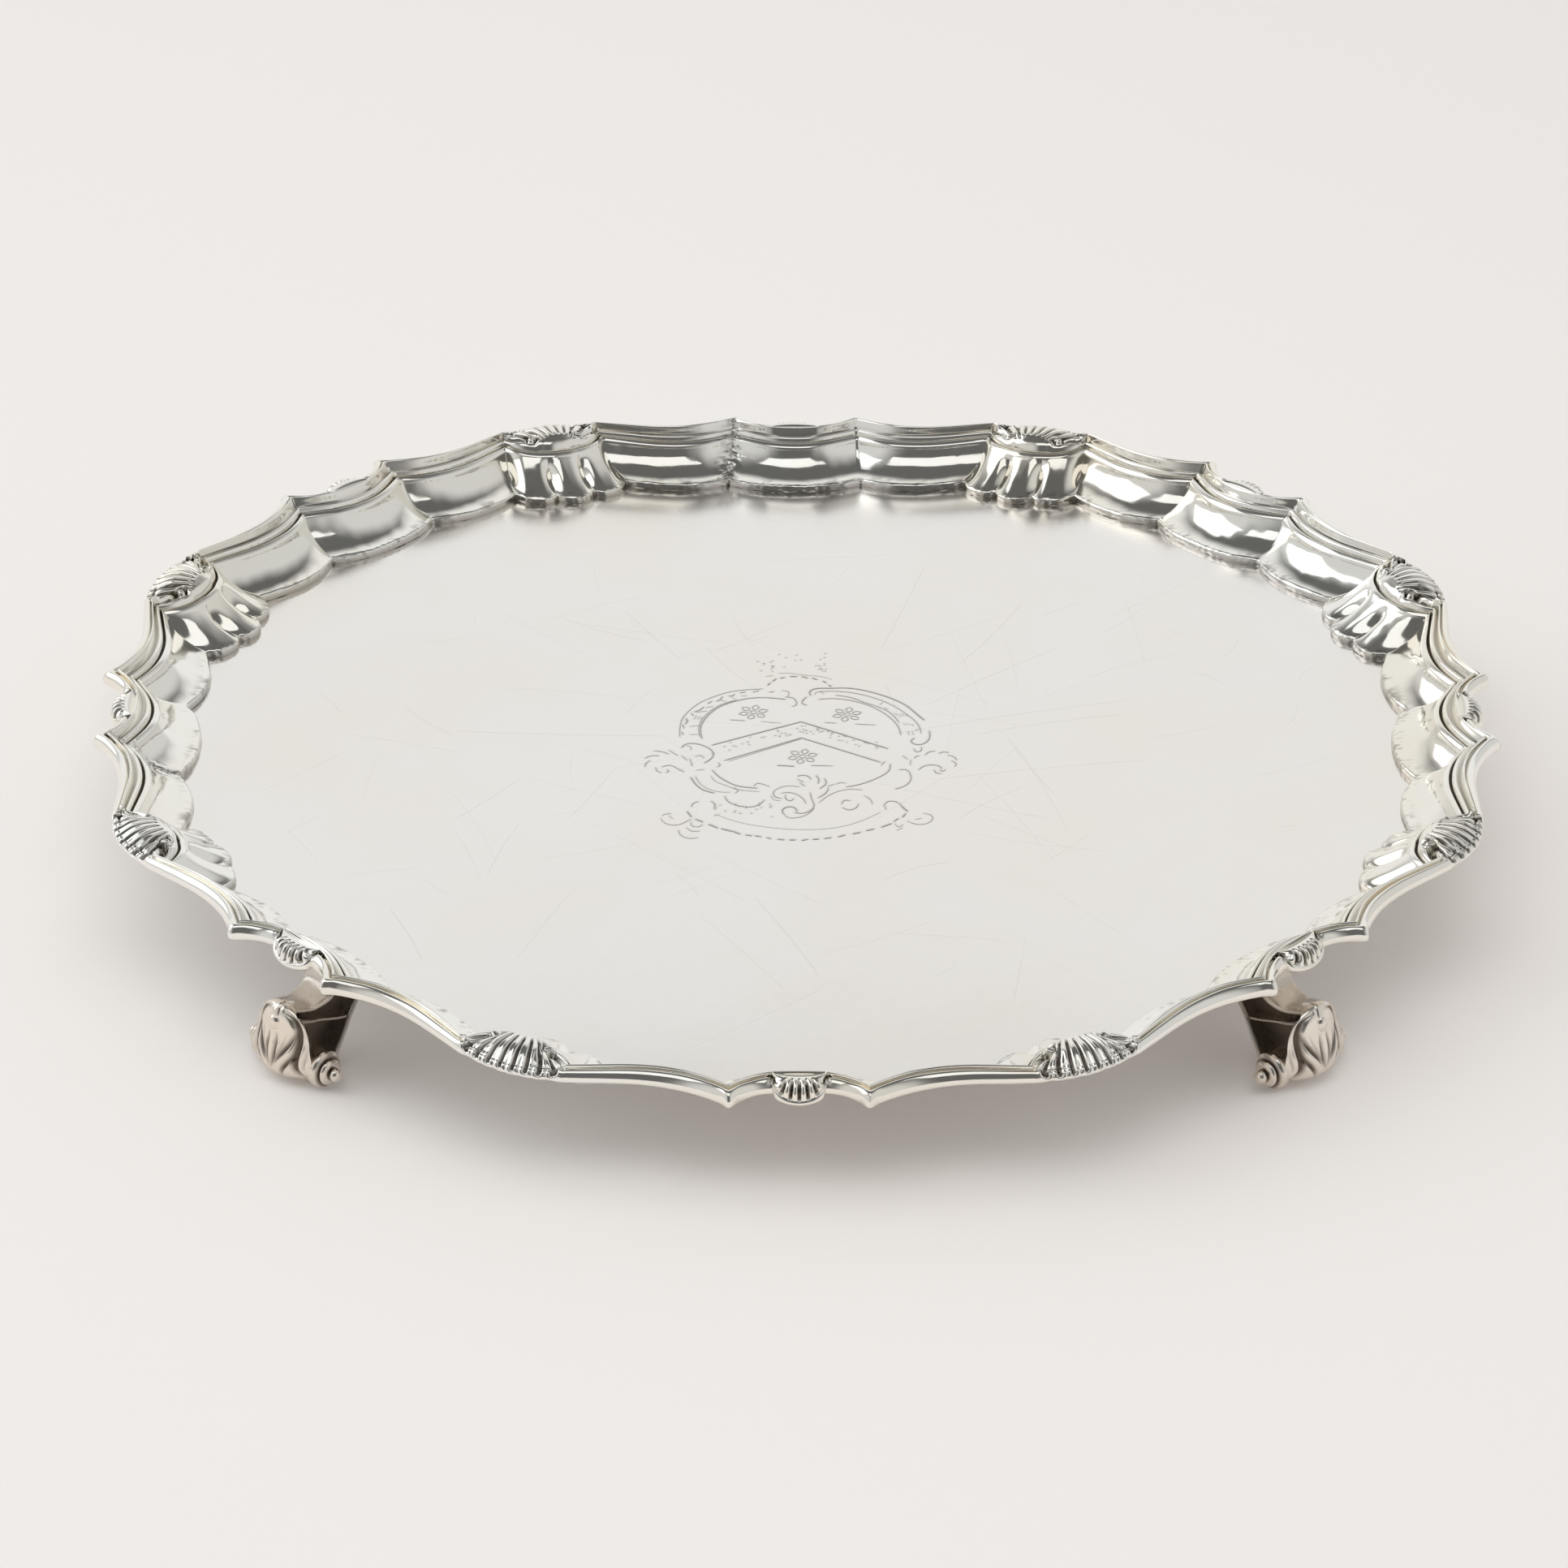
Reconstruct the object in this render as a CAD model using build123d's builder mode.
from build123d import *
import math
import os

# ---------------------------------------------------------------------------
# Four-footed shell-and-scroll salver in sheet and cast silver, millimetres.
# Origin: on the table, under the centre of the tray. +Z up, front towards -Y.
# The border repeats every 45 degrees: a narrow bay between two pointed cusps
# (centred on 0, 45, 90 ... degrees) and a wide run carrying a large shell
# (centred on 22.5, 67.5 ... degrees).
# ---------------------------------------------------------------------------

# Tray and border layout
SECTION_COUNT = 8
REPEAT = 360 / SECTION_COUNT   # angular length of one border casting
SHELL_ANGLE = REPEAT / 2       # centre of the large shell
PLATE_TOP = 21.0               # height of the tray floor above the table
PLATE_GAUGE = 1.0              # thickness of the sheet
PLATE_LAP = 1.6                # how far the sheet reaches under the border

# Levels of the border, above the tray floor
TOE_HEIGHT = 1.5               # upright lower edge of the casting
WALL_RISE = 8.5                # top of the concave wall
GROOVE_Z = 8.9                 # bottom of the sharp groove at the top of the wall
BEAD_Z = 10.6                  # thin inner bead
RIDGE_Z = 12.6                 # highest line of the rim
ROLL_Z = 10.38                 # widest level of the rolled outer edge
ROLL_UNDER = 8.85              # underside of the rolled outer edge
SHELL_CROWN = 13.3             # crown of the large shells

# Plan of the border: each row is one station, a cross-section of the casting.
#   angle and radius of the wall base, angle and radius of the top groove,
#   width of the moulding outside the groove, hollow of the wall (0 to 1),
#   blend from plain rim (0) to large shell (1)
BAY_HALF = [
    (0.0, 142.6, 0.0, 153.9, 7.1, 1.0, 0.0),
    (2.2, 143.0, 1.9, 154.6, 6.6, 1.0, 0.0),
    (4.4, 144.4, 3.8, 156.8, 6.0, 1.0, 0.0),
    (6.6, 147.6, 5.7, 160.0, 7.2, 1.0, 0.0),
]
WING = [
    BAY_HALF[-1],
    (8.5, 145.8, 7.9, 157.5, 6.8, 1.0, 0.0),
    (10.8, 145.2, 10.3, 156.6, 6.3, 1.0, 0.0),
    (13.0, 146.1, 12.9, 157.5, 5.8, 1.0, 0.0),
    (15.0, 147.9, 15.5, 160.2, 5.4, 1.0, 0.0),
    (16.7, 150.2, 17.9, 163.4, 4.8, 1.0, 0.0),
]
OUTER_FLUTE = [
    WING[-1],
    (17.6, 146.6, 18.6, 160.6, 8.0, 0.4, 0.7),
    (18.7, 145.2, 19.4, 158.6, 10.6, 0.3, 1.0),
    (19.8, 145.0, 20.2, 157.4, 12.2, 0.4, 1.0),
    (20.5, 145.9, 21.0, 156.8, 13.1, 1.0, 1.0),
]
MIDDLE_FLUTE_HALF = [
    OUTER_FLUTE[-1],
    (21.4, 143.7, 21.7, 156.3, 13.7, 0.4, 1.0),
    (22.5, 143.0, 22.5, 156.2, 13.9, 0.3, 1.0),
]

# Ribs of the shells; radii from the tray axis, heights above the tray floor
LARGE_SHELL = dict(
    angle=SHELL_ANGLE,
    count=9,
    half_spread=0.9 * 10.9,    # sideways reach of the outermost ribs
    hub_radius=160.6,
    hub_z=13.0,
    tip_radius=168.9,          # at the middle of the fan
    tip_setback=2.2,           # how much nearer the axis the outermost ribs end
    tip_z=10.6,
    start_r=0.85,              # thickness radius of a rib at the hub
    end_r=1.3,                 # and near its tip
)
SMALL_SHELL = dict(            # hangs under the rim in the middle of the bay
    angle=REPEAT,
    count=6,
    half_spread=5.0,
    hub_radius=160.0,
    hub_z=10.9,
    tip_radius=164.6,
    tip_setback=1.0,
    tip_z=9.5,
    start_r=0.75,
    end_r=1.05,
)
HUB_SPREAD = 0.16              # sideways spread at the hub, as a share of that at the tips

# Foot, made at angle 0
FIRST_FOOT_ANGLE = 45.0
FOOT_NAMES = ["foot_rear_right", "foot_rear_left", "foot_front_left", "foot_front_right"]
FOOT_AXIS_R = 161.2            # radius of the volute axis from the tray axis
NECK_HALF = 5.4                # half width of the neck
HOLLOW_DEPTH = 2.2             # depth of the hollows in each side of the neck
FRONT_HALF = 8.6               # half width of the shell front
FRONT_STEP = 2.0               # how much narrower the taller layer of the front is
VOLUTE_R = 4.8
VOLUTE_STEPS = [(VOLUTE_R, 10.6), (3.1, 11.8)]   # radius, half length
BALL_R = 1.6
BALL_Y = 12.6                  # distance of the ball ends from the middle of the foot
DROP_R = 1.9
DROP_RADIUS = 166.4            # place of the drop, from the tray axis
DROP_DEPTH = 5.6               # and below the tray floor

# Side outlines of the foot: radius from the tray axis, height above the tray floor
NECK_INNER = [
    (158.5, -PLATE_TOP), (156.2, -19.6), (155.3, -17.0), (155.1, -13.6),
    (152.6, -10.6), (147.2, -6.0), (141.6, -PLATE_GAUGE), (145.0, -PLATE_GAUGE),
    (145.0, -0.05), (146.3, -0.05), (147.4, 0.25), (149.1, 1.65), (152.3, 4.0),
    (152.9, 3.6), (153.2, 1.5), (153.3, -PLATE_GAUGE),
]
SHOULDER = [
    NECK_INNER[-1], (154.3, -2.1), (156.3, -3.0), (158.8, -3.2),
    (161.6, -2.6), (164.6, -1.7), (166.6, -2.7), (167.2, -5.0),
]
NECK_OUTER = [SHOULDER[-1], (163.0, -12.0), (163.0, -PLATE_TOP), NECK_INNER[0]]
UPPER_HOLLOW = [
    (151.0, -3.6), (154.6, -4.4), (159.0, -5.2), (160.5, -7.2),
    (156.8, -8.0), (152.4, -8.4), (149.6, -5.6),
]
LOWER_HOLLOW = [(154.8, -10.0), (160.5, -8.8), (161.2, -11.6), (157.0, -13.6)]
TALL_FRONT = [
    (163.4, -2.2), (166.4, -3.4), (167.9, -7.2), (168.4, -11.6), (167.3, -16.2),
    (164.9, -19.6), (162.6, -PLATE_TOP),
]
WIDE_FRONT = [
    (163.2, -5.6), (165.6, -7.2), (167.0, -11.6), (166.2, -15.8), (164.0, -19.2),
    (161.6, -PLATE_TOP),
]
FRONT_BACK = [(158.8, -PLATE_TOP), (158.8, -15.0), (162.4, -9.0)]


# ---------------------------------------------------------------------------
# Stations of one border casting
# ---------------------------------------------------------------------------
def mirrored(rows, centre):
    """The rows reflected about a centre angle, again in order of rising angle."""
    return [(2 * centre - base_angle, base_radius, 2 * centre - groove_angle, *rest)
            for base_angle, base_radius, groove_angle, *rest in reversed(rows)]


def shifted(rows, turn):
    return [(base_angle + turn, base_radius, groove_angle + turn, *rest)
            for base_angle, base_radius, groove_angle, *rest in rows]


def plan_point(angle, radius):
    a = math.radians(angle)
    return Vector(radius * math.cos(a), radius * math.sin(a), 0)


# From one cusp to the next: wing, three flutes of the large shell, wing, then the bay
SECTION_RUNS = [
    WING,
    OUTER_FLUTE,
    MIDDLE_FLUTE_HALF + mirrored(MIDDLE_FLUTE_HALF[:-1], SHELL_ANGLE),
    mirrored(OUTER_FLUTE, SHELL_ANGLE),
    mirrored(WING, SHELL_ANGLE),
    shifted(mirrored(BAY_HALF[1:], 0) + BAY_HALF, REPEAT),
]


def cross_section(row):
    """Upright plane through one station, and the closed outline of the casting in it.

    Outline points are (distance outwards from the wall base, height above the tray floor).
    """
    base_angle, base_radius, groove_angle, groove_radius, width, hollow, shell = row
    base = plan_point(base_angle, base_radius)
    across = plan_point(groove_angle, groove_radius) - base
    run = across.length
    end = run + width
    wall_start, wall_start_z = 0.7, TOE_HEIGHT + 0.4
    wall_end = run - 1.9

    def wall(t):
        """Point on the wall, between a straight slope and a quarter ellipse."""
        k = 0.8 * hollow
        s = k * math.sin(t * math.pi / 2) + (1 - k) * t
        z = k * (1 - math.cos(t * math.pi / 2)) + (1 - k) * t
        return (wall_start + (wall_end - wall_start) * s,
                wall_start_z + (WALL_RISE - wall_start_z) * z)

    # both tops run outwards over the moulding, round its edge and back underneath
    cove_start, cove_end = run + 1.7, end - 2.6
    cove = cove_end - cove_start
    rim = [
        (run + 0.40, 9.9), (run + 1.05, BEAD_Z), (cove_start, 10.1),
        (cove_start + 0.33 * cove, 10.3), (cove_start + 0.72 * cove, 11.3),
        (cove_end, RIDGE_Z), (end - 2.0, RIDGE_Z), (end - 1.73, 11.55), (end - 1.22, 11.85),
        (end - 0.35, 11.38), (end, ROLL_Z), (end - 0.35, 9.30), (end - 1.25, ROLL_UNDER),
        (end - 2.4, 9.22), (run + 1.2, 8.28), (run - 0.5, 7.2),
    ]
    dome = [
        (run + 0.35, 10.1), (run + 1.05, 11.2), (run + 0.17 * width, 12.1),
        (run + 0.28 * width, 12.8), (run + 0.42 * width, SHELL_CROWN),
        (run + 0.56 * width, SHELL_CROWN), (run + 0.67 * width, 12.9),
        (run + 0.77 * width, 12.3), (run + 0.87 * width, 11.65), (end - 0.45, 10.82),
        (end, 9.95), (end - 0.4, 9.10), (end - 1.4, 8.65), (end - 3.0, 9.02),
        (run + 2.0, 8.9), (run - 0.4, 7.3),
    ]
    top = [(a[0] + (b[0] - a[0]) * shell, a[1] + (b[1] - a[1]) * shell)
           for a, b in zip(rim, dome)]

    low, high = wall(0.34), wall(0.68)
    outline = [
        (0, 0), (0.12, TOE_HEIGHT), (wall_start, wall_start_z), low, high,
        (wall_end, WALL_RISE), (run - 0.4, 9.5), (run, GROOVE_Z),
        *top,
        (high[0] + 1.3, high[1] - 0.9), (low[0] + 0.9, low[1] - 1.3), (4.1, 0.35), (3.2, 0),
    ]
    outwards = across.normalized()
    plane = Plane(origin=base + Vector(0, 0, PLATE_TOP), x_dir=outwards,
                  z_dir=outwards.cross(Vector(0, 0, 1)))
    return plane, outline


def fan(angle, count, half_spread, hub_radius, hub_z, tip_radius, tip_setback, tip_z,
        start_r, end_r):
    """Ribs spreading from a hub, each as (plane through its axis, axis, half profile)."""
    # x outwards at the shell's angle, y along the rim, z up from the tray floor
    frame = Plane(origin=(0, 0, PLATE_TOP), x_dir=plan_point(angle, 1), z_dir=(0, 0, 1))
    ribs = []
    for i in range(count):
        u = -1 + 2 * i / (count - 1)
        y = half_spread * u
        start = frame.from_local_coords(Vector(hub_radius, y * HUB_SPREAD, hub_z))
        tip = frame.from_local_coords(Vector(tip_radius - tip_setback * u * u, y, tip_z))
        run = tip - start
        length = run.length
        plane = Plane(origin=start, x_dir=run.normalized(),
                      z_dir=run.normalized().cross(Vector(0, 0, 1)).normalized())
        # tapered, with a rounded end beyond the tip
        profile = [
            (0, 0), (0, start_r), (length, end_r), (length + 0.55 * end_r, 0.84 * end_r),
            (length + 0.9 * end_r, 0.45 * end_r), (length + 0.9 * end_r, 0),
        ]
        ribs.append((plane, Axis(start, run), profile))
    return ribs


# ---------------------------------------------------------------------------
# Pieces
# ---------------------------------------------------------------------------
def make_border_casting():
    """One border casting, from one cusp to the next."""
    with BuildPart() as casting:
        for rows in SECTION_RUNS:
            for row in rows:
                plane, outline = cross_section(row)
                with BuildSketch(plane):
                    with BuildLine():
                        Polyline(*outline, close=True)
                    make_face()
            loft()
        for plane, axis, profile in fan(**LARGE_SHELL) + fan(**SMALL_SHELL):
            with BuildSketch(plane):
                with BuildLine():
                    Polyline(*profile, close=True)
                make_face()
            revolve(axis=axis)
    return casting.part


def make_tray_plate():
    """The flat sheet: its edge follows the foot of the wall all the way round."""
    edge = []
    for k in range(SECTION_COUNT):
        for rows in SECTION_RUNS:
            for row in rows[:-1]:   # the last row is the first of the next run
                point = plan_point(row[0] + k * REPEAT, row[1] + PLATE_LAP)
                edge.append((point.X, point.Y))
    with BuildPart() as plate:
        with BuildSketch(Plane.XY.offset(PLATE_TOP - PLATE_GAUGE)):
            with BuildLine():
                Polyline(*edge, close=True)
            make_face()
        extrude(amount=PLATE_GAUGE)
    return plate.part


def make_foot():
    """One foot at angle 0, its shell front facing outwards along +X."""
    side = Plane(origin=(0, 0, PLATE_TOP), x_dir=(1, 0, 0), z_dir=(0, -1, 0))
    with BuildPart() as foot:
        # neck under the sheet and against the wall, shoulder, sloping inner strip
        with BuildSketch(side):
            with BuildLine():
                Polyline(*NECK_INNER)
                Spline(*SHOULDER)
                for start, end in zip(NECK_OUTER, NECK_OUTER[1:]):
                    Line(start, end)
            make_face()
        extrude(amount=NECK_HALF, both=True)
        # two hollows in each side of the neck
        for flank in (-NECK_HALF, NECK_HALF):
            with BuildSketch(side.offset(flank)):
                for hollow in (UPPER_HOLLOW, LOWER_HOLLOW):
                    with BuildLine():
                        Polyline(*hollow, close=True)
                    make_face()
            extrude(amount=HOLLOW_DEPTH, both=True, mode=Mode.SUBTRACT)
        # shell front, in a tall narrow layer and a lower wide one
        for curve, half_width in ((TALL_FRONT, FRONT_HALF - FRONT_STEP),
                                  (WIDE_FRONT, FRONT_HALF)):
            with BuildSketch(side):
                with BuildLine():
                    Spline(*curve)
                    Polyline(curve[-1], *FRONT_BACK, curve[0])
                make_face()
            extrude(amount=half_width, both=True)
        # volute across the foot, stepped towards its ball ends
        for radius, half_length in VOLUTE_STEPS:
            with BuildSketch(side):
                with Locations((FOOT_AXIS_R, VOLUTE_R - PLATE_TOP)):
                    Circle(radius)
            extrude(amount=half_length, both=True)
        with Locations((FOOT_AXIS_R, -BALL_Y, VOLUTE_R), (FOOT_AXIS_R, BALL_Y, VOLUTE_R)):
            Sphere(BALL_R)
        # drop at the top of the shell front
        with Locations((DROP_RADIUS, 0, PLATE_TOP - DROP_DEPTH)):
            Sphere(DROP_R)
    return foot.part


def turned(part, angle):
    """A copy of the part turned about the tray axis."""
    with BuildPart() as copy:
        add(part, rotation=(0, 0, angle))
    return copy.part


# ---------------------------------------------------------------------------
# The pieces in their places, one file each
# ---------------------------------------------------------------------------
pieces = {"tray_plate": make_tray_plate()}

border_casting = make_border_casting()
for k in range(SECTION_COUNT):
    pieces[f"border_section_{k + 1}"] = turned(border_casting, k * REPEAT)

foot_casting = make_foot()
for k, name in enumerate(FOOT_NAMES):
    pieces[name] = turned(foot_casting, FIRST_FOOT_ANGLE + 90 * k)

os.makedirs("parts", exist_ok=True)
for name, part in pieces.items():
    part.label = name
    export_step(part, f"parts/{name}.step")
